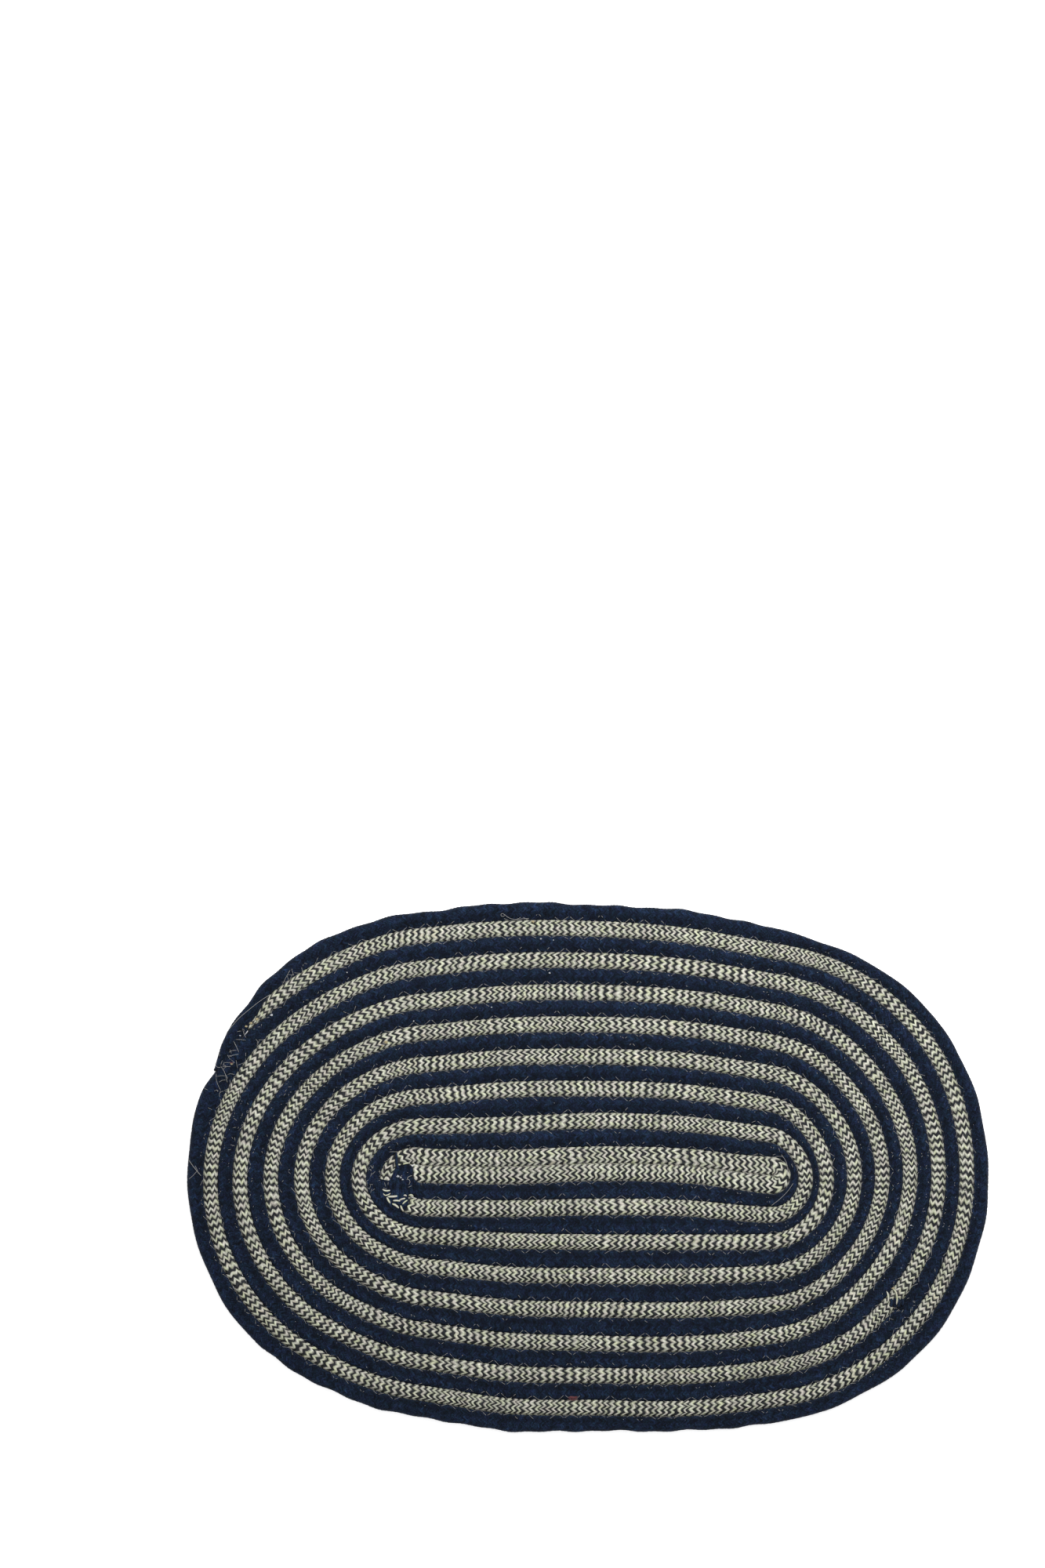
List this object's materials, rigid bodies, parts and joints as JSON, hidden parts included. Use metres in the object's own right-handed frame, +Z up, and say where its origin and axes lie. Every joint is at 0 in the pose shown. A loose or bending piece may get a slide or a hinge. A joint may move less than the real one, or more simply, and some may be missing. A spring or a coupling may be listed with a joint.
{
  "type": "oval braided rug",
  "caption": "Flat oval rug of a tweed braid and a plain navy braid, coiled side by side and sewn row to row.",
  "frame": {"origin": "middle of the rug's outline, on its underside, where it rests on the floor", "axes": "+X along the rug's long axis, +Y across it, +Z up out of its face"},
  "size_m": [0.599, 0.3996, 0.0085],
  "materials": {
    "tweed_yarn": "matte plaited cotton, cream strands with charcoal-navy ones",
    "navy_yarn": "matte plaited cotton, navy",
    "sewing_thread": "beige spun sewing thread"
  },
  "bodies": {
    "root": {"tweed_braid": "tweed_yarn", "navy_braid": "navy_yarn"}
  },
  "joints": []
}
